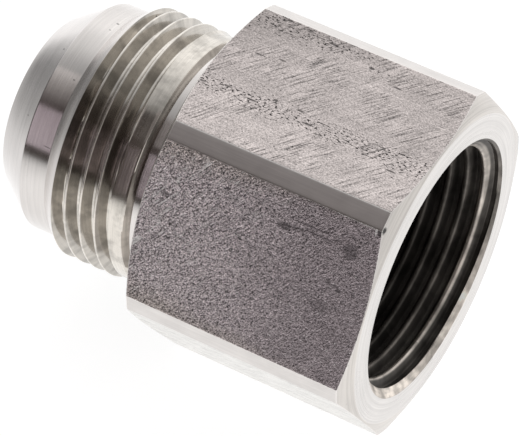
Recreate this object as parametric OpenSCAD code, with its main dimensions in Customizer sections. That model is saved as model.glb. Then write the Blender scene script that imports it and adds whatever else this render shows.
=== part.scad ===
// Reducing nipple: one turned and milled piece of stainless steel.
// Male 37 degree flare end with a straight thread, hexagon body, female pipe thread end.
// The axis is X. The male nose points to -X and the female mouth to +X.
// The part lies on one flat of the hexagon. Z = 0 is that flat, X = 0 the middle of the length.
// All sizes are millimetres.

/* [Hexagon] */
// Width across the flats
across_flats = 41; // [38:0.5:48]
// Diameter of the round bar, left bare on the six corners
bar_d = 46; // [45:0.1:46.8]
// Length of the hexagon from face to face
hex_length = 31; // [24:0.5:40]
// Angle of the turned corner chamfer at the male end, measured from the end face
corner_chamfer_angle = 25; // [15:1:35]
// Angle of the flatter corner chamfer round the female mouth, measured from the end face
mouth_corner_angle = 17; // [10:1:35]
// How deep the corner chamfers cut into the round bar at each end face
corner_chamfer_depth = 2.8; // [2.55:0.05:3.2]

/* [Male thread] */
// Outer diameter of the male thread
male_major_d = 33.3; // [32.5:0.05:34]
// Diameter at the bottom of the male thread
male_root_d = 30.9; // [30.6:0.05:31.4]
// Distance from one male crest to the next
male_pitch = 2.117; // [1.5:0.001:2.4]
// Number of full crests
male_full_crests = 3; // [2:1:4]
// Number of lower crests where the thread runs out
male_runout_crests = 2; // [1:1:2]
// Length along the axis of the chamfer that leads into the thread
thread_lead = 2.2; // [1.5:0.1:3]
// Width of the short groove between that chamfer and the first crest
lead_groove = 1.05; // [0.6:0.05:1.3]
// How far the run-out has dropped below full height at its last crest
runout_drop = 0.6; // [0.2:0.05:0.9]

/* [Flare end] */
// Diameter of the plain collar between thread and cone
collar_d = 30.3; // [29.5:0.05:30.5]
// Length of the plain collar
collar_length = 3.3; // [2:0.1:5]
// Half angle of the sealing cone
cone_half_angle = 37; // [30:1:45]
// Outer diameter of the flat rim at the nose
nose_d = 23; // [22.8:0.1:26]
// Radius that softens the outer edge of the nose
nose_round = 0.5; // [0.2:0.1:0.6]
// Diameter of the relief neck beside the hexagon
neck_d = 30.8; // [29:0.05:30.85]
// Length of the relief neck from the hexagon to the last crest
neck_length = 2.9; // [2:0.1:4]
// Radius in the corner between neck and hexagon
neck_fillet = 0.8; // [0.3:0.1:1]

/* [Bore] */
// Diameter of the flow bore
flow_bore_d = 21.4; // [18:0.1:22]
// Countersink on the flow bore at the nose
nose_bore_chamfer = 0.4; // [0.2:0.1:0.6]

/* [Female thread] */
// Outer diameter of the female thread
female_major_d = 33.25; // [32.5:0.05:34]
// Diameter over the crests of the female thread
female_minor_d = 30.7; // [30.3:0.05:31]
// Distance from one female crest to the next
female_pitch = 2.309; // [1.8:0.001:2.6]
// Number of female thread grooves
female_grooves = 7; // [4:1:8]
// Diameter of the countersink at the mouth
mouth_d = 33.8; // [33.4:0.1:35]
// Length of the plain bore behind the female thread
plain_bore_length = 3; // [1:0.5:5]
// Half angle of the drilled floor that joins the socket to the flow bore
floor_half_angle = 59; // [45:1:75]

/* [Hidden] */
smooth = 180;
eps = 0.01;
over = 5;

// Hexagon and its corner chamfers
hex_corner_d = across_flats / cos(30);
corner_chamfer_length = corner_chamfer_depth * tan(corner_chamfer_angle);
mouth_corner_length = corner_chamfer_depth * tan(mouth_corner_angle);
end_face_d = bar_d - 2 * corner_chamfer_depth;

// Male thread form: flat crest, 60 degree flanks, flat root
male_depth = (male_major_d - male_root_d) / 2;
male_flank = tan(30);
male_crest_flat = male_pitch / 8;
male_foot = male_crest_flat / 2 + male_depth * male_flank;
male_crests = male_full_crests + male_runout_crests;

// Stations along the axis, measured from the female face towards the nose
neck_end = hex_length + neck_length;
last_crest = neck_end + male_foot;
first_crest = last_crest + (male_crests - 1) * male_pitch;
first_edge = first_crest + male_crest_flat / 2;
thread_start = first_edge + lead_groove;
collar_end = thread_start + thread_lead;
cone_start = collar_end + collar_length;
cone_length = (collar_d - nose_d) / 2 / tan(cone_half_angle);
total_length = cone_start + cone_length;

// Female thread form: 55 degree flanks, equal crest and root flats
female_depth = (female_major_d - female_minor_d) / 2;
female_flank = tan(27.5);
female_flat = female_pitch / 2 - female_depth * female_flank;
mouth_chamfer = (mouth_d - female_minor_d) / 2;
socket_end = mouth_chamfer + female_flat + female_grooves * female_pitch + plain_bore_length;
floor_end = socket_end + (female_minor_d - flow_bore_d) / 2 / tan(floor_half_angle);

// Radius of male crest i, counted from the nose: full height first, then dropping
function male_radius(i) =
    male_major_d / 2 - runout_drop * max(0, i + 1 - male_full_crests) / male_runout_crests;

// One male crest, as [station, radius] points. p is its station, r its radius
function male_crest(p, r) =
    let (top = male_foot - (r - male_root_d / 2) * male_flank)
    [[p + male_foot, male_root_d / 2], [p + top, r], [p - top, r], [p - male_foot, male_root_d / 2]];

// The short V groove between the lead-in chamfer and the first crest
lead_valley = [
    (thread_start + first_edge) / 2,
    male_major_d / 2 - lead_groove / 2 / male_flank
];

// The male thread, crest by crest. The first crest rises from the short groove
male_thread = [
    for (i = [0 : male_crests - 1])
        let (c = male_crest(first_crest - i * male_pitch, male_radius(i)))
        for (j = [(i == 0 ? 1 : 0) : 3]) c[j]
];

// Rounded outer edge of the nose, tangent to the rim and to the cone
nose_turn = 90 - cone_half_angle;
nose_reach = nose_round * tan(nose_turn / 2);
nose_edge = [
    for (a = [0 : nose_turn / 6 : nose_turn + eps])
        [total_length - nose_round + nose_round * cos(a),
         nose_d / 2 - nose_reach + nose_round * sin(a)]
];

// Fillet in the corner between neck and hexagon
neck_corner = [
    for (a = [0 : 15 : 90])
        [hex_length + neck_fillet - neck_fillet * sin(a),
         neck_d / 2 + neck_fillet - neck_fillet * cos(a)]
];

// Outline of the turned male end, from the nose to inside the hexagon
male_outline = concat(
    [[hex_length - over, 0], [total_length, 0]],
    nose_edge,
    [[cone_start, collar_d / 2], [collar_end, collar_d / 2]],
    [[thread_start, male_major_d / 2], lead_valley],
    male_thread,
    neck_corner,
    [[hex_length - over, neck_d / 2 + neck_fillet]]
);

// Outline of the threaded socket that is cut from the female face
socket_outline = concat(
    [[-over, 0], [-over, mouth_d / 2 + over], [mouth_chamfer, female_minor_d / 2]],
    [for (i = [0 : female_grooves - 1])
        for (q = female_groove(mouth_chamfer + female_flat + i * female_pitch)) q],
    [[socket_end, female_minor_d / 2], [floor_end, flow_bore_d / 2], [floor_end, 0]]
);

// One groove of the female thread, as [station, radius] points. s is where it starts
function female_groove(s) =
    let (slope = female_depth * female_flank)
    [[s, female_minor_d / 2], [s + slope, female_major_d / 2],
     [s + slope + female_flat, female_major_d / 2], [s + 2 * slope + female_flat, female_minor_d / 2]];

// Turns an outline given as [station, radius] around the axis, female face at X = 0
module turned(outline) {
    rotate([0, -90, 0])
        rotate_extrude($fn = smooth)
            polygon([for (q = outline) [q[1], q[0]]]);
}

// Hexagon with bare round corners and turned chamfers at both ends
module hex_body() {
    intersection() {
        rotate([0, -90, 0])
            rotate([0, 0, 30])
                cylinder(d = hex_corner_d, h = hex_length, $fn = 6);
        turned([
            [0, 0], [0, end_face_d / 2],
            [mouth_corner_length, bar_d / 2],
            [hex_length - corner_chamfer_length, bar_d / 2],
            [hex_length, end_face_d / 2], [hex_length, 0]
        ]);
    }
}

// Male end: neck, thread, collar and sealing cone
module male_end() {
    turned(male_outline);
}

// Female thread, plain bore and drilled floor
module socket_cut() {
    turned(socket_outline);
}

// Flow bore with its countersink at the nose
module flow_bore_cut() {
    turned([
        [socket_end, 0], [socket_end, flow_bore_d / 2],
        [total_length - nose_bore_chamfer, flow_bore_d / 2],
        [total_length + over, flow_bore_d / 2 + nose_bore_chamfer + over],
        [total_length + over, 0]
    ]);
}

module fitting_body() {
    color([0.66, 0.63, 0.61])
        translate([total_length / 2, 0, across_flats / 2])
            difference() {
                union() {
                    hex_body();
                    male_end();
                }
                socket_cut();
                flow_bore_cut();
            }
}

fitting_body();
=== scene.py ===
"""Looks of the reducing nipple: one steel piece with real helical threads, its floor, light and camera.

Sizes are millimetres here and metres in Blender, but the floor and the camera are given in metres.
A station s runs along the axis from the female face towards the nose, so x is LENGTH / 2 - s.
An angle runs around the axis, 0 at the top and positive to the front. It is given in degrees, and
the nodes work in radians.
"""
import math

import bmesh
import bpy
import numpy as np
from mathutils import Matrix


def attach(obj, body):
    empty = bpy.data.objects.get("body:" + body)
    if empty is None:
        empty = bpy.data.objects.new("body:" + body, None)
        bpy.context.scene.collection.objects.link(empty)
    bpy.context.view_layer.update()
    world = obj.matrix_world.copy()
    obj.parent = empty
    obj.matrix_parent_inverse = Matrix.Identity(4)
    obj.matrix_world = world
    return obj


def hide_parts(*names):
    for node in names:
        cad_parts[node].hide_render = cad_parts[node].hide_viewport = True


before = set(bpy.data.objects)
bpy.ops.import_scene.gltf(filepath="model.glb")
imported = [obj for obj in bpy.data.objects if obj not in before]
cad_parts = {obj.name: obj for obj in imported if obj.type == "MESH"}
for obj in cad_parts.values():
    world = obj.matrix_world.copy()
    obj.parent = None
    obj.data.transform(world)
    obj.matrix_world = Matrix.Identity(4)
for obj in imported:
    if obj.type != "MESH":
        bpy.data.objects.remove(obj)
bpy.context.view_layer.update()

MM = 0.001

# Sizes as in the part's source
ACROSS_FLATS = 41.0
BAR_R = 23.0
HEX_LENGTH = 31.0
FACE_R = 20.2
MALE_CHAMFER = math.tan(math.radians(25))
MOUTH_CHAMFER = math.tan(math.radians(17))
MALE_R = 16.65
MALE_PITCH = 2.117
MALE_ANGLE = 60
THREAD_START = 44.375
CONE_START = 49.875
CONE_HALF_ANGLE = 37
COLLAR_R = 15.15
NOSE_R = 11.5
NOSE_ROUND = 0.5
NECK_END = 33.9
NECK_R = 15.4
NECK_FILLET = 0.8
BORE_R = 10.7
BORE_CHAMFER = 0.4
FEMALE_R = 16.625
FEMALE_MINOR_R = 15.35
FEMALE_PITCH = 2.309
FEMALE_ANGLE = 55
MOUTH_R = 16.9
SOCKET_END = 21.204
FLOOR_END = 23.998
LENGTH = CONE_START + (COLLAR_R - NOSE_R) / math.tan(math.radians(CONE_HALF_ANGLE))

# Sizes that follow the photograph more closely than the part's source does
MALE_ROOT_R = 15.25
COLLAR_END = 46.3
CREST_FLAT = 0.04
CREST_BEND = 0.11
ROOT_BEND = 0.2
FEMALE_CREST_BEND = 0.36
EDGE_SOFT = 0.12

# Where the two helices lie: the station of a crest's middle at the angle that is given with it
MALE_PHASE = (42.72, 36.76)
FEMALE_PHASE = (2.2, 216.76)

# By station: the bar's radius and the tool's lift where the male thread runs out, and the socket's root
RUNOUT_BAR = {NECK_END: NECK_R, 34.1: 15.72, 34.45: 16.24, 34.6: 16.3, 36.5: 16.3, 37.2: MALE_R}
FULL_THREAD = 36.9
RUNOUT_LIFT = {35.6: 1.3, 36.3: 0.5, FULL_THREAD: 0.0}
FEMALE_THREAD_END = 18.3
SOCKET_ROOT = {15.2: FEMALE_R, FEMALE_THREAD_END: FEMALE_MINOR_R}

# How far to each side of a crest's middle the lines of a thread lie
MALE_STEPS = [0.08, 0.12, 0.155, 0.21, 0.38, 0.58, 0.78, 0.86, 0.92, 0.98]
FEMALE_STEPS = [0.08, 0.15, 0.21, 0.27, 0.32, 0.5, 0.7, 0.86, 0.91, 1.0]

ZONES = ["bore", "nose", "cone", "collar", "lead", "thread", "neck", "back", "chamfer", "side", "face",
         "socket", "floor", "land"]


# The grid of the whole surface
def sector_angles():
    """Angles within one sixth of a turn, from a flat's middle, closer together at its two edges."""
    edge = math.degrees(math.acos(ACROSS_FLATS / 2 / BAR_R))
    flat = list(np.linspace(-26.2, 26.2, 25))
    rim = [edge - 0.33, edge - 0.12, edge, edge + 0.12, edge + 0.38]
    land = [28.3, 29.15, 30.0]
    return sorted(flat + rim + [-q for q in rim] + land + [-q for q in land[:-1]]), edge


SECTOR, LAND_EDGE = sector_angles()
ANGLE = np.array([-180 + 60 * k + q for k in range(6) for q in SECTOR])
ANGLE = np.append(ANGLE, ANGLE[0] + 360)
LOCAL = (ANGLE + 30) % 60 - 30
LOCAL = np.where(np.isclose(LOCAL, -30), 30, LOCAL)
ON_EDGE = np.exp(-((np.abs(LOCAL) - LAND_EDGE) / 0.13) ** 2)

rows = []


def row(s, r, zone, edge=0.0):
    """One closed line around the part. zone names the strip that ends here, edge says how strongly a painted
    highlight brightens it.
    """
    full = np.ones_like(ANGLE)
    rows.append((s * full, r * full, edge * full, zone))


def lines(points, zone):
    """Closed lines at the given stations and radii, which may be followed by how strongly a painted highlight
    brightens the line.
    """
    for s, r, *edge in points:
        row(s, r, zone, *edge)


def at_station(values, s):
    """The value at station s, read between the stations that are given."""
    return np.interp(s, list(values), list(values.values()))


def from_crest(s, a, pitch, phase):
    """Distance along the axis to the middle of the nearest crest of a helix."""
    turns = (s - phase[0] + pitch * (a - phase[1]) / 360) / pitch
    return np.abs(turns - np.round(turns)) * pitch


def below_crest(d, flat, bend, angle):
    """Depth below a crest at distance d. It has a flat, a bend and flanks with this angle between them."""
    lean = math.radians(90 - angle / 2)
    d = np.maximum(d - flat, 0)
    arc = bend - np.sqrt(np.maximum(bend ** 2 - np.minimum(d, bend) ** 2, 0))
    side = bend * (1 - math.cos(lean)) + (d - bend * math.sin(lean)) * math.tan(lean)
    return np.where(d < bend * math.sin(lean), arc, side)


def male_radius(s, a):
    """Radius of the male end's threaded part, and how strongly a painted highlight brightens its crests and
    roots.

    Near the neck the bar is thinner and the tool draws back, so the last turn is plain.
    """
    d = from_crest(s, a, MALE_PITCH, MALE_PHASE)
    to_root = MALE_PITCH / 2 - d
    lift = at_station(RUNOUT_LIFT, s)
    crest = MALE_R + lift - below_crest(d, CREST_FLAT, CREST_BEND, MALE_ANGLE)
    root = MALE_ROOT_R + lift + below_crest(to_root, 0.0, ROOT_BEND, MALE_ANGLE)
    groove = np.maximum(np.minimum(crest, root), MALE_ROOT_R + lift)
    r = np.where(d < 0.3 * MALE_PITCH, crest, groove)
    shoulder = MALE_R - np.maximum(THREAD_START - s, 0) / math.tan(math.radians(MALE_ANGLE / 2))
    # Painted highlight: bright lines along the crests and roots of the full thread, not on the lead's
    # shoulder.
    painted_highlight = np.clip((s - FULL_THREAD) / 0.8, 0, 1) * (shoulder < r - 0.05)
    painted_highlight = painted_highlight * (0.5 * np.exp(-(d / 0.08) ** 2) + 0.45 * np.exp(-(to_root / 0.08) ** 2))
    return np.maximum(np.minimum(r, at_station(RUNOUT_BAR, s)), shoulder), painted_highlight


def female_radius(s, a):
    """Radius of the socket's countersink and thread. Neither gets a painted highlight."""
    d = from_crest(s, a, FEMALE_PITCH, FEMALE_PHASE)
    r = FEMALE_MINOR_R + below_crest(d, 0.0, FEMALE_CREST_BEND, FEMALE_ANGLE)
    r = np.minimum(r, at_station(SOCKET_ROOT, s))
    return np.maximum(r, MOUTH_R - s), np.zeros_like(r)


def helix(steps, pitch, phase, low, high, radius, zone, falling):
    """Lines that follow a thread. They stop at the stations low and high, where they fall together."""
    offsets = [0, *steps, pitch / 2, *(-q for q in steps)]
    shift = pitch * (ANGLE - phase[1]) / 360
    first = math.floor((low - phase[0] + shift.min()) / pitch) - 1
    last = math.ceil((high - phase[0] + shift.max()) / pitch) + 1
    stations = [phase[0] + k * pitch + q for k in range(first, last + 1) for q in offsets]
    stations.sort(reverse=falling)
    start, end = (high, low) if falling else (low, high)
    turns = [np.clip(w - shift, low, high) for w in stations]
    turns = [s for s in turns if s.min() < high and s.max() > low]
    for s in [np.full_like(ANGLE, start), *turns, np.full_like(ANGLE, end)]:
        r, painted_highlight = radius(s, ANGLE)
        row(s, r, zone, painted_highlight)


def bore():
    """The flow bore, from the socket's floor to its small chamfer at the nose."""
    start = LENGTH - BORE_CHAMFER
    lines([(FLOOR_END, BORE_R), (FLOOR_END + 0.3, BORE_R), (38.0, BORE_R), (53.8, BORE_R)], "bore")
    lines([(start - 0.03, BORE_R), (start, BORE_R + 0.02, 0.5), (start + 0.04, BORE_R + 0.05)], "bore")


def nose():
    """The bore's chamfer, the nose's flat rim and its rounded outer edge, tangent to rim and cone."""
    rim = BORE_R + BORE_CHAMFER
    turn = 90 - CONE_HALF_ANGLE
    reach = NOSE_ROUND * math.tan(math.radians(turn / 2))
    lines([(LENGTH - 0.04, rim - 0.04), (LENGTH - 0.01, rim, 0.7), (LENGTH, rim + 0.05)], "nose")
    lines([(LENGTH, NOSE_R - reach - 0.05), (LENGTH, NOSE_R - reach)], "nose")
    for q in (10, 20, 30, 40, turn):
        row(LENGTH - NOSE_ROUND * (1 - math.cos(math.radians(q))),
            NOSE_R - reach + NOSE_ROUND * math.sin(math.radians(q)), "nose", 0.15)


def cone():
    """The sealing cone, with a slightly softened edge where the collar starts."""
    slope = (COLLAR_R - NOSE_R) / (LENGTH - CONE_START)
    for part in (0.25, 0.5, 0.75, 0.93):
        row(LENGTH - part * (LENGTH - CONE_START), NOSE_R + part * (COLLAR_R - NOSE_R), "cone")
    lines([(CONE_START + q, COLLAR_R - q * slope) for q in (0.1, 0.03)], "cone")
    lines([(CONE_START - q, COLLAR_R) for q in (0.03, 0.1)], "cone")


def collar():
    """The plain collar, and the chamfer that leads into the male thread."""
    lead = (MALE_R - COLLAR_R) / (COLLAR_END - THREAD_START)
    lines([(s, COLLAR_R) for s in (49.0, 48.0, 47.0, COLLAR_END + 0.08, COLLAR_END + 0.02)], "collar")
    lines([(COLLAR_END - q, COLLAR_R + q * lead) for q in (0.02, 0.08, COLLAR_END - 45.9, COLLAR_END - 45.1)],
          "lead")
    lines([(THREAD_START + 0.1, MALE_R - 0.1 * lead), (THREAD_START + 0.03, MALE_R - 0.035, 0.5)], "lead")


def neck():
    """The relief neck, its fillet and the hexagon's end face round it."""
    lines([(s, NECK_R) for s in (33.5, 32.8, 32.2)], "neck")
    for q in (0, 15, 30, 45, 60, 75, 90):
        row(HEX_LENGTH + NECK_FILLET * (1 - math.sin(math.radians(q))),
            NECK_R + NECK_FILLET * (1 - math.cos(math.radians(q))), "neck")
    lines([(HEX_LENGTH, r) for r in (17.2, 18.6, 20.0)], "back")


def hexagon():
    """Hexagon with its bare corners, and the turned chamfer at each end with a softened edge."""
    flat = np.abs(LOCAL) <= LAND_EDGE
    wall = np.where(flat, ACROSS_FLATS / 2 / np.cos(np.radians(LOCAL)), BAR_R)
    inner = HEX_LENGTH - (wall - FACE_R) * MALE_CHAMFER
    outer = (wall - FACE_R) * MOUTH_CHAMFER
    wall = wall - 0.03 * ON_EDGE
    soft = EDGE_SOFT * np.clip((HEX_LENGTH - inner) / 0.4, 0.3, 1)
    row(HEX_LENGTH, FACE_R - 0.1, "back")
    row(HEX_LENGTH - 0.006, FACE_R, "back", 0.5)
    row(inner + soft * MALE_CHAMFER, wall - soft, "chamfer", 0.3)
    row(inner - 0.01, wall - 0.02, "chamfer", 1.0)
    row(inner - 0.08, wall, "side", 0.9)
    row(inner - 0.13, wall, "side")
    for s in np.linspace(inner.min() - 0.6, outer.max() + 0.6, 9):
        row(s, wall, "side")
    row(outer + 0.09, wall, "side", 0.25)
    row(outer + 0.01, wall - 0.02, "side", 1.0)
    soft = EDGE_SOFT * np.clip(outer / 0.3, 0.3, 1)
    row(outer - soft * MOUTH_CHAMFER, wall - soft, "chamfer", 0.3)
    row(0.02, FACE_R + 0.02 / MOUTH_CHAMFER, "chamfer")
    row(0.004, FACE_R, "chamfer", 0.4)
    row(0, FACE_R - 0.1, "face", 0.2)


def mouth():
    """The flat ring round the mouth, with a softened inner edge."""
    lines([(0, r) for r in (19.6, 18.4, 17.4, MOUTH_R + 0.13)], "face")
    row(0.004, MOUTH_R + 0.04, "face", 0.5)


def socket_floor():
    """The plain bore behind the female thread, and the drilled floor that joins it to the flow bore."""
    lines([(19.5, FEMALE_MINOR_R), (SOCKET_END - 0.1, FEMALE_MINOR_R)], "floor")
    lines([(SOCKET_END, FEMALE_MINOR_R - 0.05), (SOCKET_END + 0.1, FEMALE_MINOR_R - 0.15)], "floor")
    lines([(22.6, 13.02), (FLOOR_END - 0.1, BORE_R + 0.16), (FLOOR_END, BORE_R)], "floor")


def surface_mesh():
    """The rows as one grid of faces. A face has its zone's material, a point says how strongly a painted
    highlight brightens it.
    """
    s, r, edge = (np.array([q[k] for q in rows]) for k in range(3))
    zones = [q[3] for q in rows]
    count, columns = s.shape
    a = np.radians(ANGLE)[None, :]
    points = np.stack([(LENGTH / 2 - s) * MM, -r * np.sin(a) * MM,
                       (ACROSS_FLATS / 2 + r * np.cos(a)) * MM], -1).reshape(-1, 3)
    i, j = np.meshgrid(np.arange(count - 1), np.arange(columns - 1), indexing="ij")
    corner = (i * columns + j).ravel()
    faces = np.stack([corner, corner + columns, corner + columns + 1, corner + 1], -1)
    mesh = bpy.data.meshes.new("nipple_steel")
    mesh.from_pydata(points.tolist(), [], faces.tolist())
    strip = np.array([ZONES.index(zone) for zone in zones[1:]])
    part = np.repeat(strip[:, None], columns - 1, 1)
    middle = (np.abs(LOCAL[:-1]) + np.abs(LOCAL[1:])) / 2
    part[(part == ZONES.index("side")) & (middle > LAND_EDGE)[None, :]] = ZONES.index("land")
    mesh.polygons.foreach_set("material_index", part.ravel().astype(np.int32))
    # The edge attribute carries the painted highlight, also along the flats' long edges.
    highlight_layer = mesh.attributes.new("edge", "FLOAT", "POINT")
    side = np.array([zone == "side" for zone in zones])[:, None] * ON_EDGE[None, :]
    highlight_layer.data.foreach_set("value", np.maximum(edge, side).ravel())
    return mesh


def close_mesh(mesh):
    """Joins the seam and the lines that fall together, and shades smoothly up to steep edges."""
    work = bmesh.new()
    work.from_mesh(mesh)
    bmesh.ops.remove_doubles(work, verts=work.verts, dist=2e-7)
    bmesh.ops.dissolve_degenerate(work, edges=work.edges, dist=1e-7)
    bmesh.ops.recalc_face_normals(work, faces=work.faces)
    for face in work.faces:
        face.smooth = True
    for edge in work.edges:
        if len(edge.link_faces) == 2 and edge.calc_face_angle(0) > math.radians(34):
            edge.smooth = False
    work.to_mesh(mesh)
    work.free()


def build_body():
    """The whole fitting, row by row from the socket's floor out through the bore, round and back in."""
    bore()
    nose()
    cone()
    collar()
    helix(MALE_STEPS, MALE_PITCH, MALE_PHASE, NECK_END, THREAD_START, male_radius, "thread", True)
    neck()
    hexagon()
    mouth()
    helix(FEMALE_STEPS, FEMALE_PITCH, FEMALE_PHASE, 0.04, FEMALE_THREAD_END, female_radius, "socket", False)
    socket_floor()
    mesh = surface_mesh()
    close_mesh(mesh)
    body = bpy.data.objects.new("nipple_steel", mesh)
    bpy.context.scene.collection.objects.link(body)
    return body


body = build_body()


# Node trees
class Graph:
    """A node tree that is built by short calls. Each call gives the output of the node that it adds."""

    def __init__(self, tree):
        self.tree = tree

    def node(self, kind, inputs, out=0, **props):
        node = self.tree.nodes.new("ShaderNode" + kind)
        for key, value in props.items():
            setattr(node, key, value)
        for key, value in inputs.items():
            if isinstance(value, bpy.types.NodeSocket):
                self.tree.links.new(value, node.inputs[key])
            else:
                node.inputs[key].default_value = value
        return node.outputs[out] if node.outputs else None

    def math(self, operation, *values):
        return self.node("Math", dict(enumerate(values)), operation=operation)

    def chain(self, operation, values):
        result = values[0]
        for value in values[1:]:
            result = self.math(operation, result, value)
        return result

    def total(self, *values):
        return self.chain("ADD", values)

    def times(self, *values):
        return self.chain("MULTIPLY", values)

    def most(self, *values):
        return self.chain("MAXIMUM", values)

    def less(self, value, by):
        return self.math("SUBTRACT", value, by)

    def outside(self, mask):
        """1 where the mask is 0."""
        return self.less(1.0, mask)

    def centred(self, value, size):
        """A value around 0.5, as one around 0 times a size."""
        return self.times(self.less(value, 0.5), size)

    def spread(self, value, low, high, to_low=0.0, to_high=1.0, smooth=True):
        """to_low up to the value low, to_high from the value high on."""
        return self.node("MapRange", {0: value, 1: low, 2: high, 3: to_low, 4: to_high},
                         interpolation_type="SMOOTHSTEP" if smooth else "LINEAR")

    def near(self, value, middle, full, none):
        """1 where the value is within full of the middle, 0 where it is further away than none."""
        return self.spread(self.math("ABSOLUTE", self.less(value, middle)), full, none, 1.0, 0.0)

    def vector(self, x, y, z=0.0):
        return self.node("CombineXYZ", {0: x, 1: y, 2: z})

    def axes(self, vector):
        """The vector's three coordinates."""
        split = self.tree.nodes.new("ShaderNodeSeparateXYZ")
        self.tree.links.new(vector, split.inputs[0])
        return split.outputs

    def scaled(self, vector, by):
        """A place or colour times a number."""
        return self.node("VectorMath", {0: vector, 3: by}, operation="SCALE")

    def noise(self, where, detail=2.0, rough=0.5, bend=0.0, scale=1.0):
        return self.node("TexNoise", {"Vector": where, "Scale": scale, "Detail": detail, "Roughness": rough,
                                      "Distortion": bend})

    def blend(self, factor, first, second):
        return self.node("Mix", {0: factor, 6: first, 7: second}, 2, data_type="RGBA")

    def ramp(self, where, stops):
        """A colour ramp. A stop is its position and a grey, or its position and three colour values."""
        color = self.tree.nodes.new("ShaderNodeValToRGB")
        self.tree.links.new(where, color.inputs["Fac"])
        elements = color.color_ramp.elements
        while len(elements) < len(stops):
            elements.new(0.5)
        for element, (position, *level) in zip(elements, stops):
            element.position = position
            element.color = (*(level * 3)[:3], 1)
        return color.outputs["Color"]


# Materials
# Colour of the painted highlight on edges, crests and roots
EDGE_HIGHLIGHT = (0.92, 0.885, 0.86, 1)
POLISHED = (0.70, 0.665, 0.645)

# Small dents and stains on the turned surfaces: x, angle, half length, half width, strength
DENTS = [(-19.57, -15.7, 0.2, 0.13, 0.8), (-19.69, -9.4, 0.13, 0.1, 0.7), (-23.14, 10.3, 0.16, 0.1, 0.7),
         (-19.62, 23.2, 0.13, 0.1, 0.6), (-16.47, -31.3, 0.22, 0.3, 0.95), (-19.59, 56.8, 0.6, 0.06, 0.5),
         (-18.7, 49.0, 0.1, 0.12, 0.5), (-22.4, 60.5, 0.12, 0.1, 0.6), (-23.6, 47.0, 0.14, 0.1, 0.5),
         (26.6, 32.6, 0.13, 0.3, 1.0), (26.9, -47.0, 0.1, 0.12, 0.5), (26.75, -41.5, 0.1, 0.1, 0.5)]

# Marks on the flats: x, place across the flat, half length, half width, strength
FRONT_MARKS = [(14.8, -6.2, 1.0, 0.5, 0.75), (23.5, -6.5, 1.2, 1.1, 0.6), (22.5, -1.7, 1.1, 0.16, 0.5),
               (23.3, -1.3, 0.45, 0.22, 0.95), (18.2, -7.45, 2.9, 0.13, 0.7), (19.2, -6.8, 2.2, 0.12, 0.6),
               (16.6, -6.6, 1.2, 0.25, 0.5), (6.8, -7.7, 0.35, 0.2, 0.95), (1.0, 1.2, 0.3, 0.14, 0.9),
               (17.8, 5.3, 0.15, 0.15, 1.0), (-0.9, -3.9, 0.7, 0.4, 0.6), (21.5, 1.4, 1.3, 1.0, 0.4),
               (9.0, -3.0, 4.0, 0.1, 0.35), (26.3, -10.15, 0.3, 0.55, 1.0), (12.0, -0.5, 3.0, 0.09, 0.3)]
FRONT_BURRS = [(25.85, -10.1, 0.16, 0.6, 1.0), (24.6, -10.35, 1.4, 0.09, 0.9), (21.8, -10.38, 1.3, 0.08, 0.8)]
UPPER_MARKS = [(3.7, 3.3, 0.8, 0.13, 0.9), (11.5, 3.4, 0.8, 0.13, 0.85), (1.0, -3.5, 0.85, 0.12, 0.7),
               (7.7, -9.3, 0.7, 0.15, 0.8), (3.8, -4.0, 0.55, 0.12, 0.55), (1.3, -10.1, 0.45, 0.2, 0.8),
               (0.2, 2.8, 0.6, 0.14, 0.7), (13.6, -8.1, 0.4, 0.2, 0.85), (20.9, 2.3, 0.5, 0.13, 0.7),
               (17.8, -6.8, 0.6, 0.14, 0.7), (9.7, 2.0, 0.6, 0.12, 0.7), (23.4, 5.0, 0.7, 0.13, 0.75),
               (6.3, 2.0, 0.35, 0.2, 0.8), (-2.8, 3.5, 0.5, 0.15, 0.7), (4.3, -9.8, 0.5, 0.3, 0.6)]

# The six flats are counted round the axis from the upper one, positive to the front
UPPER = 0.0
FRONT = 1.0
LOWER = 2.0
LOWER_BACK = -2.0

# Colours of the flats and of the marks on them
GRAINY = (0.53, 0.47, 0.48, 1)
GRAINY_BY_MOUTH = (0.31, 0.265, 0.28, 1)
# The lower flat's colour is much brighter: painted light.
LIT_LOWER_FLAT = (0.80, 0.785, 0.76, 1)
WARM_BORDER = (0.36, 0.315, 0.27, 1)
GLINT = (0.86, 0.83, 0.82, 1)
BLOTCH = (0.11, 0.095, 0.10, 1)
PIT = (0.03, 0.027, 0.027, 1)

# Direction of the cutter's lines on a flat: along the bar, and across the flat
SLANT = (0.611, -0.791)
SLANT_BEND = -0.0015


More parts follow.
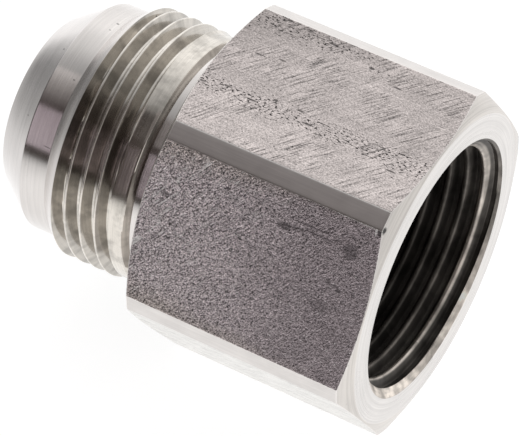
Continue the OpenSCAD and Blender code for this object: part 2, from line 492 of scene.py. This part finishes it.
class Steel(Graph):
    """A steel. Lengths in its textures are millimetres, and r and angle are taken from the bar's axis."""

    def __init__(self, name):
        self.material = bpy.data.materials.new(name)
        self.material.use_nodes = True
        super().__init__(self.material.node_tree)
        self.shader = self.tree.nodes["Principled BSDF"]
        self.shader.inputs["Metallic"].default_value = 1.0
        self.x, y, z = self.axes(self.scaled(self.node("TexCoord", {}, "Object"), 1 / MM))
        z = self.less(z, ACROSS_FLATS / 2)
        self.r = self.math("SQRT", self.total(self.times(y, y), self.times(z, z)))
        self.angle = self.math("ARCTAN2", self.times(y, -1.0), z)
        self.edge = self.node("Attribute", {}, "Fac", attribute_name="edge")

    def wrapped(self, per_mm, per_radian, seed, detail=2.0, sharp=0.5):
        """Noise along the bar and around the axis."""
        where = self.vector(self.times(self.x, per_mm), self.times(self.angle, per_radian), seed)
        return self.noise(where, detail, sharp)

    def spots(self, across, places, ragged, rim):
        """Ovals with ragged rims. across is the coordinate that a place's second number is read in."""
        ragged = self.math("MULTIPLY_ADD", ragged, 1.6, 0.2)
        result = 0.0
        for x, middle, half_length, half_width, strength in places:
            du = self.math("DIVIDE", self.less(self.x, x), half_length)
            dv = self.math("DIVIDE", self.less(across, middle), half_width)
            far = self.total(self.times(du, du), self.times(dv, dv))
            result = self.most(result, self.spread(self.times(far, ragged), 0.25, rim, strength, 0.0))
        return result

    def bump(self, height, depth):
        return self.node("Bump", {"Strength": 1.0, "Distance": depth * MM, "Height": height})

    def finish(self, color, rough, normal):
        """Links the shader. Edges get a painted highlight: they come out bright and a little rougher."""
        bright = self.spread(self.edge, 0.1, 0.9, 0.0, 0.85)
        color = self.blend(bright, color, EDGE_HIGHLIGHT)
        rough = self.total(rough, self.times(bright, 0.12))
        self.tree.links.new(color, self.shader.inputs["Base Color"])
        self.tree.links.new(rough, self.shader.inputs["Roughness"])
        self.tree.links.new(normal, self.shader.inputs["Normal"])
        return self.material


def dents(steel):
    """Where the small dents and stains of the turned surfaces are."""
    ragged = steel.wrapped(5.0, 80.0, 0.0)
    places = [(x, math.radians(turn), half_length, half_width / COLLAR_R, strength)
              for x, turn, half_length, half_width, strength in DENTS]
    return steel.spots(steel.angle, places, ragged, 1.4)


def socket_oil_and_painted_light(steel):
    """How bright the socket is drawn: oil-like mottling, painted shade that deepens inwards and fills the
    grooves, and painted light and shade round the countersink that change with the angle around the axis.
    """
    s = steel.less(LENGTH / 2, steel.x)
    # turn runs once round the axis: 0 at the top, a quarter at the back
    turn = steel.math("DIVIDE", steel.math("WRAP", steel.angle, 0.0, -2 * math.pi), -2 * math.pi)
    # the threaded part: painted shade that deepens inwards and is mottled like oil, and painted shade in the
    # grooves that covers more of them at some angles around the axis
    oil = steel.noise(steel.vector(steel.times(steel.angle, 2.6), steel.times(steel.x, 0.5), 8.0), 3.0, 0.6)
    inside = steel.most(steel.spread(s, 3.2, 9.0, 0.42, 0.17), steel.spread(s, 2.7, 3.4, 1.0, 0.0))
    inside = steel.times(inside, steel.spread(oil, 0.36, 0.62, 0.55, 1.1))
    thread = steel.spread(steel.less(steel.total(steel.r, s), MOUTH_R), 0.04, 0.16)
    wide = steel.ramp(turn, [(0.0, 0.55), (0.22, 0.55), (0.31, 0.1), (0.6, 0.0), (0.9, 0.3), (1.0, 0.55)])
    depth = steel.spread(steel.less(steel.r, wide), FEMALE_MINOR_R + 0.06, FEMALE_MINOR_R + 0.34)
    remaining = steel.spread(s, 2.4, 3.6, 0.2, 0.6)
    dark = steel.times(thread, depth, steel.outside(remaining))
    inside = steel.times(inside, steel.outside(dark))
    # the countersink: painted light and shade that change with the angle around the axis, mottled
    rim = steel.ramp(turn, [(0.0, 0.35), (0.15, 0.25), (0.3, 0.3), (0.37, 0.65), (0.41, 1.35), (0.46, 1.3),
                            (0.49, 0.85), (0.58, 1.1), (0.8, 1.0), (1.0, 0.5)])
    cloud = steel.noise(steel.vector(steel.times(steel.angle, 9.0), steel.times(s, 1.5), 5.0), 3.0)
    rim = steel.times(rim, steel.spread(cloud, 0.3, 0.7, 0.75, 1.25))
    bare = steel.times(steel.outside(thread), steel.spread(s, 1.1, 1.3, 1.0, 0.0))
    return steel.total(steel.times(inside, steel.outside(bare)), steel.times(rim, bare))


def turned(name, color, rough, marks=1.0, tone=1.0, painted_flank_shade=1.0, socket=False):
    """A surface cut on the lathe: lines run around the axis. flank paints shade onto a thread's slanting
    sides: the lower it is, the darker they are.
    """
    steel = Steel(name)
    profile = steel.total(steel.x, steel.r)

    def around(per_mm, per_radian, seed, detail, sharp=0.5):
        """Noise along the profile and around the axis."""
        where = steel.vector(steel.times(profile, per_mm), steel.times(steel.angle, per_radian), seed)
        return steel.noise(where, detail, sharp)

    fine = around(9.0, 1.2, 3.0, 3.0, 0.6)
    broad = around(2.6, 0.8, 9.0, 2.0)
    cloud = around(0.35, 2.0, 4.0, 3.0)
    specks = steel.spread(around(3.5, 60.0, 1.0, 1.0), 0.745, 0.79)
    level = steel.total(1.0, steel.centred(fine, 0.28 * tone), steel.centred(broad, 0.24 * tone),
                        steel.centred(cloud, 0.22 * tone))
    level = steel.less(level, steel.times(specks, 0.35))
    # The socket's painted light and shade, with oil-like mottling.
    if socket:
        level = steel.times(level, socket_oil_and_painted_light(steel))
    # Painted shade on a thread's slanting sides, read from how far the surface leans along the axis, mottled
    # by grime.
    if painted_flank_shade < 1:
        lean = steel.math("ABSOLUTE", steel.axes(steel.node("TexCoord", {}, "Normal"))[0])
        grime = steel.wrapped(0.3, 4.5, 12.0, 3.0, 0.6)
        level = steel.times(level, steel.spread(lean, 0.76, 0.85, 1.0, painted_flank_shade),
                            steel.spread(grime, 0.36, 0.58, 0.72, 1.04))
    level = steel.times(level, steel.outside(dents(steel)))
    normal = steel.bump(steel.total(fine, steel.times(broad, 1.6)), 0.0035 * marks)
    rough_here = steel.total(rough, steel.centred(cloud, 0.12))
    if socket:
        deep = steel.spread(steel.x, LENGTH / 2 - 4.0, LENGTH / 2 - 2.8, 0.14, 0.0)
        rough_here = steel.total(rough_here, deep)
    return steel.finish(steel.scaled(color, level), rough_here, normal)


class Flat(Steel):
    """The hexagon's flats. u runs along the bar, v across a flat. Two flats are grainy; the lower one has
    finer grain and is painted lighter.
    """

    def __init__(self, name):
        super().__init__(name)
        sixth = math.pi / 3
        self.side = self.math("ROUND", self.math("DIVIDE", self.angle, sixth))
        self.u = self.x
        self.v = self.times(self.r, self.math("SINE", self.less(self.angle, self.times(self.side, sixth))))
        self.seed = self.times(self.side, 37.0)
        self.grainy = self.most(self.only(FRONT), self.only(LOWER_BACK))
        self.plain = self.outside(self.grainy)
        # The lower flat: finer grain, and painted lighter.
        self.clean = self.only(LOWER)
        along, across = SLANT
        self.length = self.total(self.times(self.u, along), self.times(self.v, across))
        width = self.total(self.times(self.u, -across), self.times(self.v, along))
        self.width = self.total(width, self.times(self.times(self.length, self.length), SLANT_BEND))

    def only(self, number):
        """1 on the flat with this number."""
        return self.near(self.side, number, 0.2, 0.4)

    def field(self, along, across, detail=2.0, sharp=0.5, bend=0.0):
        """Noise along the bar and across the flat."""
        where = self.vector(self.times(self.u, along), self.times(self.v, across), self.seed)
        return self.noise(where, detail, sharp, bend)

    def slant(self, across, along, detail=2.0, sharp=0.5):
        """Noise across and along the cutter's slightly bent lines."""
        where = self.vector(self.times(self.width, across), self.times(self.length, along), self.seed)
        return self.noise(where, detail, sharp)

    def marks(self, places, number):
        """Marks at places on the flat with this number."""
        spots = self.spots(self.v, places, self.field(3.0, 5.0, 3.0, 0.7), 1.3)
        return self.times(spots, self.only(number))


def scratches(flat):
    """Bright and dark lines along the cutter's slant, in patches of the grainy flats."""
    scored = flat.slant(1.5, 0.1, 1.0)
    to_neck = flat.spread(flat.total(flat.u, flat.times(flat.v, 0.8)), 1.0, 9.0, 1.0, 0.1)
    area = flat.times(to_neck, flat.grainy, flat.spread(flat.field(0.5, 0.6, 2.0), 0.45, 0.6))
    return [flat.times(flat.near(scored, level, 0.0, 0.034), area) for level in (0.5, 0.46)]


def torn_pits(flat, cloud):
    """Pits that the cutter tore, in two bands along the bar and scattered, and small holes in the grain."""
    ragged = flat.total(flat.v, flat.centred(cloud, 4.0))
    far = flat.times(flat.near(ragged, -9.0, 0.6, 2.3), flat.spread(flat.u, 9.0, 19.0, 1.0, 0.15))
    bands = flat.most(far, flat.near(ragged, 3.2, 0.6, 2.2))
    limit = flat.less(0.72, flat.times(bands, 0.128))
    pits = flat.spread(flat.less(flat.field(2.1, 4.6, 1.0, 0.5, 0.2), limit), 0.0, 0.03)
    pits = flat.times(pits, flat.spread(flat.total(flat.grainy, flat.clean), 0.0, 1.0, 1.0, 0.0))
    holes = flat.times(flat.spread(flat.field(2.6, 2.6, 1.0), 0.735, 0.76), flat.grainy)
    return flat.most(pits, holes, flat.marks(UPPER_MARKS, UPPER))


def flat_tint(flat, color, cloud):
    """The flats' colour before light and dark are worked in. The grainy flats darken towards the mouth, and
    the lower flat is painted lighter.
    """
    tint = flat.blend(flat.grainy, (*color, 1), GRAINY)
    to_mouth = flat.spread(flat.total(flat.u, flat.times(flat.v, -0.12)), 1.0, 24.0, 0.0, 0.85)
    tint = flat.blend(flat.times(to_mouth, flat.grainy), tint, GRAINY_BY_MOUTH)
    # Painted light: the lower flat takes a much brighter colour.
    tint = flat.blend(flat.clean, tint, LIT_LOWER_FLAT)
    border = flat.total(flat.math("ABSOLUTE", flat.v), flat.times(flat.u, -0.12), flat.centred(cloud, 3.0))
    warm = flat.times(flat.spread(border, 6.5, 11.0, 0.0, 0.55), flat.only(FRONT))
    return flat.blend(warm, tint, WARM_BORDER)


def milled(name, color, rough):
    """The hexagon's flats: slanting cutter lines, torn pits in bands, hammered grain on two of them."""
    flat = Flat(name)
    times, total, centred = flat.times, flat.total, flat.centred
    # fine and coarse grain, clouds, and lines along the bar and along the slant
    streaks = flat.spread(flat.slant(4.6, 0.26, 2.0, 0.6), 0.34, 0.56)
    patch = flat.spread(flat.field(0.16, 0.22, 1.0), 0.42, 0.58, 0.1, 1.0)
    grain = flat.field(3.6, 3.9, 3.0, 0.75)
    flecks = flat.spread(flat.field(4.6, 5.2, 1.0, 0.8), 0.34, 0.66)
    lumps = flat.slant(1.7, 1.05, 2.0, 0.6)
    ridges = flat.slant(4.6, 1.7, 2.0, 0.7)
    coarse = flat.field(1.9, 2.4, 2.0, 0.6)
    cloud = flat.field(0.2, 0.33, 4.0, 0.6)
    along = flat.field(0.09, 2.2, 3.0, 0.6)
    # light and dark
    fade = flat.spread(total(times(flat.u, 0.02), times(flat.v, 0.018)), -0.25, 0.6, 1.15, 0.62, False)
    rough_grain = total(centred(grain, 1.6), centred(ridges, 2.8), centred(flecks, 1.2), centred(coarse, 0.9),
                        centred(lumps, 1.5))
    fine_grain = total(centred(grain, 1.2), centred(flecks, 0.45), centred(coarse, 0.6), centred(along, 0.55),
                       times(flat.less(streaks, 0.76), 0.68, patch))
    level = total(1.0, centred(flat.slant(1.1, 0.12), 0.3), centred(cloud, 0.45),
                  times(rough_grain, fade, flat.grainy),
                  times(fine_grain, flat.plain, flat.spread(flat.clean, 0.0, 1.0, 1.0, 0.4)))
    # Painted light and shade on the upper flat: darker towards one long edge, lighter towards the other.
    upper_painted_light = times(flat.spread(total(flat.v, times(flat.u, 0.35)), -9.0, -3.0, 0.8, 1.0),
                flat.spread(flat.v, 0.0, 4.0, 1.0, 1.14))
    upper_painted_light = flat.most(times(upper_painted_light, flat.only(UPPER)), flat.outside(flat.only(UPPER)))
    shade = flat.scaled(flat_tint(flat, color, cloud), times(flat.most(level, 0.15), upper_painted_light))
    # marks; glints are painted highlights: white specks, the bright scratch lines and the burrs
    bright_line, dark_line = scratches(flat)
    glints = times(flat.spread(flat.field(2.9, 3.3, 1.0, 0.5, 0.3), 0.715, 0.75), flat.grainy)
    glints = flat.most(glints, flat.most(bright_line, flat.marks(FRONT_BURRS, FRONT)))
    blotch = flat.most(flat.marks(FRONT_MARKS, FRONT), times(dark_line, 0.6))
    pits = torn_pits(flat, cloud)
    shade = flat.blend(times(glints, 0.75), shade, GLINT)
    shade = flat.blend(blotch, shade, BLOTCH)
    shade = flat.blend(times(pits, 0.95), shade, PIT)
    # relief
    relief = total(times(streaks, patch, times(flat.plain, 0.5)),
                   times(grain, flat.spread(flat.grainy, 0.0, 1.0, 1.0, 4.4)),
                   times(coarse, flat.grainy), times(lumps, times(flat.grainy, 2.5)),
                   times(ridges, times(flat.grainy, 5.0)), times(along, 0.3), times(flecks, 0.5))
    normal = flat.bump(flat.less(relief, times(pits, 2.0)), 0.022)
    # The painted edge highlight is broken into a ragged line.
    flat.edge = times(flat.edge, flat.spread(flat.field(2.5, 2.5, 3.0, 0.7), 0.35, 0.6, 0.15, 1.0))
    return flat.finish(shade, total(rough, times(flat.grainy, 0.06)), normal)


def drawn(name, color, rough):
    """The bar's own skin, left on the six corners: faint lines along the bar."""
    steel = Steel(name)
    streaks = steel.wrapped(0.12, 90.0, 2.0, 3.0, 0.6)
    cloud = steel.wrapped(0.35, 9.0, 6.0, 3.0)
    level = steel.total(1.0, steel.centred(streaks, 0.3), steel.centred(cloud, 0.25))
    return steel.finish(steel.scaled(color, level), steel.total(rough, steel.times(cloud, 0.06)),
                        steel.bump(streaks, 0.004))


def make_materials():
    """Gives each zone its own steel."""
    made = {
        # A darker colour: painted shade inside the bore.
        "bore": turned("steel_bore", (0.55, 0.52, 0.50), 0.3),
        "nose": turned("steel_nose", POLISHED, 0.22),
        "cone": turned("steel_cone", (0.72, 0.69, 0.675), 0.17, marks=0.6),
        "collar": turned("steel_collar", (0.67, 0.64, 0.62), 0.17, marks=0.5, tone=0.9),
        "lead": turned("steel_lead", POLISHED, 0.18, marks=0.7, tone=0.7),
        "thread": turned("steel_thread", (0.68, 0.64, 0.585), 0.16, marks=0.5, tone=1.2, painted_flank_shade=0.76),
        "neck": turned("steel_neck", POLISHED, 0.12, marks=0.4, tone=0.4),
        "back": turned("steel_back", (0.6, 0.57, 0.55), 0.3),
        "chamfer": turned("steel_chamfer", (0.66, 0.625, 0.59), 0.3, marks=2.0, tone=2.0),
        "side": milled("steel_milled", (0.52, 0.47, 0.455), 0.36),
        "face": turned("steel_face", (0.69, 0.665, 0.645), 0.28, marks=2.0, tone=1.8),
        "socket": turned("steel_socket", (0.70, 0.64, 0.58), 0.46, marks=0.5, tone=1.4, painted_flank_shade=0.8,
                         socket=True),
        # A darker colour: painted shade deep in the socket.
        "floor": turned("steel_floor", (0.45, 0.42, 0.40), 0.35),
        "land": drawn("steel_land", (0.68, 0.65, 0.63), 0.27),
    }
    for zone in ZONES:
        body.data.materials.append(made[zone])


make_materials()
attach(body, "root")
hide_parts("fitting_body")


# Floor, light and camera
WHITE = (1, 1, 1, 1)
FLOOR_HALF = 0.6
CARD_R = 75
CARD_STRIPS = 12

# How bright metal sees the floor, from near the part to far on the left
FLOOR_GLOW = [(0.0, 1.0), (0.13, 1.0), (0.2, 0.8), (0.27, 0.7), (0.4, 0.46), (0.63, 0.28), (1.0, 0.22)]

# How bright the tent is by degrees around the axis, and where its front is open
TENT = [(-180, 1.0), (-105, 1.05), (-90, 1.22), (-58, 1.28), (-42, 1.02), (-26, 0.86), (-10, 0.56),
        (5, 0.42), (13, 0.06, 0.05, 0.046), (93, 0.06, 0.05, 0.046), (96, 0.9), (180, 1.0)]
OPEN_FRONT = [(-180, 0.0), (5, 0.0), (13, 1.0), (93, 1.0), (96, 0.0), (180, 0.0)]

# The stretches along x of the cards whose reflections show in the collar, the neck and the hexagon
FOR_COLLAR = (-53.0, -43.0)
FOR_NECK = (-29.5, -26.6)
FOR_HEXAGON = (-26.6, 25.0)


def studio_mesh(name, points, faces, material_name):
    """An object of the studio, and the empty node tree of its material."""
    mesh = bpy.data.meshes.new(name)
    mesh.from_pydata(points, [], faces)
    thing = bpy.data.objects.new(name, mesh)
    bpy.context.scene.collection.objects.link(thing)
    material = bpy.data.materials.new(material_name)
    material.use_nodes = True
    material.node_tree.nodes.clear()
    mesh.materials.append(material)
    return thing, Graph(material.node_tree)


def floor():
    """A white sheet. Seen directly it is white but for a faint shadow; metal sees it bright near the part."""
    half = FLOOR_HALF
    corners = [(-half, -half, 0), (half, -half, 0), (half, half, 0), (-half, half, 0)]
    ground, graph = studio_mesh("floor", corners, [(0, 1, 2, 3)], "floor_white")
    x, y, _ = graph.axes(graph.node("TexCoord", {}, "Object"))
    behind = graph.times(graph.most(y, 0.0), 1.2)
    left = graph.less(graph.times(x, -1.0), behind)
    near = graph.ramp(graph.spread(left, 0.0, 0.3, smooth=False), FLOOR_GLOW)
    glow = graph.scaled(near, graph.spread(x, 0.045, 0.12, 1.0, 0.62, smooth=False))
    seen = graph.node("LightPath", {}, "Is Camera Ray")
    shiny = graph.node("LightPath", {}, "Is Glossy Ray")
    emission = graph.node("Emission", {"Color": graph.blend(seen, glow, WHITE),
                                       "Strength": graph.math("MULTIPLY_ADD", seen, 0.9, shiny)})
    diffuse = graph.node("BsdfDiffuse", {"Color": (0.3, 0.3, 0.3, 1)})
    graph.node("OutputMaterial", {"Surface": graph.node("AddShader", {0: diffuse, 1: emission})})


def card(name, stretch, turns, color, last=None):
    """A curved card round the axis that only reflections see. Its colour may change towards last."""
    points = [(x * MM, -CARD_R * MM * math.sin(q), (ACROSS_FLATS / 2 + CARD_R * math.cos(q)) * MM)
              for q in np.radians(np.linspace(*turns, CARD_STRIPS + 1)) for x in stretch]
    faces = [(2 * k, 2 * k + 1, 2 * k + 3, 2 * k + 2) for k in range(CARD_STRIPS)]
    panel, graph = studio_mesh(name, points, faces, name)
    fade = panel.data.attributes.new("fade", "FLOAT", "POINT")
    fade.data.foreach_set("value", [k // 2 / CARD_STRIPS for k in range(len(points))])
    part = graph.node("Attribute", {}, "Fac", attribute_name="fade")
    tone = graph.blend(part, (*color, 1), (*(last or color), 1))
    cloth = graph.noise(graph.node("TexCoord", {}, "Object"), 3.0, 0.6, scale=130.0)
    strength = graph.spread(cloth, 0.3, 0.7, 0.8, 1.2, smooth=False)
    graph.node("OutputMaterial", {"Surface": graph.node("Emission", {"Color": tone, "Strength": strength})})
    panel.visible_camera = panel.visible_diffuse = panel.visible_shadow = False


def studio():
    """White behind and below, grey and dark above the camera's side: a light tent with its front open."""
    world = bpy.data.worlds.new("studio")
    bpy.context.scene.world = world
    world.use_nodes = True
    world.node_tree.nodes.clear()
    graph = Graph(world.node_tree)
    x, y, z = graph.axes(graph.node("TexCoord", {}, "Generated"))
    angle = graph.math("ARCTAN2", graph.times(y, -1.0), z)
    turn = graph.spread(angle, -math.pi, math.pi, smooth=False)

    def by_degrees(stops):
        return graph.ramp(turn, [((degrees + 180) / 360, *level) for degrees, *level in stops])

    front = graph.times(by_degrees(OPEN_FRONT), graph.spread(x, 0.2, 0.4))
    tent = graph.blend(front, by_degrees(TENT), (0.95, 0.93, 0.92, 1))
    tent = graph.scaled(tent, graph.spread(x, 0.5, 0.75, 1.0, 0.5))
    far_left = graph.spread(x, -0.78, -0.9)
    gloom = graph.spread(y, 0.3, 0.56, 0.25, 1.0)
    gloom = graph.node("CombineColor", {0: gloom, 1: gloom, 2: gloom})
    color = graph.blend(far_left, tent, gloom)
    color = graph.blend(graph.node("LightPath", {}, "Is Camera Ray"), color, WHITE)
    graph.node("OutputWorld", {"Surface": graph.node("Background", {"Color": color})})


def camera():
    """The photograph's viewing angle, from above and in front. Its turns are tilt, roll and pan."""
    data = bpy.data.cameras.new("camera")
    data.lens = 247.454
    data.sensor_fit = "HORIZONTAL"
    data.sensor_width = 36.0
    data.clip_start = 0.01
    data.clip_end = 10.0
    eye = bpy.data.objects.new("camera", data)
    bpy.context.scene.collection.objects.link(eye)
    eye.location = (0.150785, -0.246145, 0.350453)
    eye.rotation_euler = [math.radians(q) for q in (40.62888, 0.63144, 30.30935)]
    bpy.context.scene.camera = eye


floor()
card("card_low_collar", FOR_COLLAR, (42, 77.5), (0.58, 0.50, 0.55), (0.68, 0.60, 0.65))
card("card_low_neck", FOR_NECK, (43, 81), (0.66, 0.58, 0.63))
card("card_high_collar", FOR_COLLAR, (6, 37.5), (0.74, 0.71, 0.70), (0.11, 0.095, 0.095))
card("card_high_neck", FOR_NECK, (10, 36.5), (0.37, 0.345, 0.34))
card("card_high_land", FOR_HEXAGON, (10, 36.5), (0.27, 0.25, 0.25))
studio()
camera()
bpy.context.scene.view_settings.view_transform = "Standard"

bpy.context.view_layer.update()
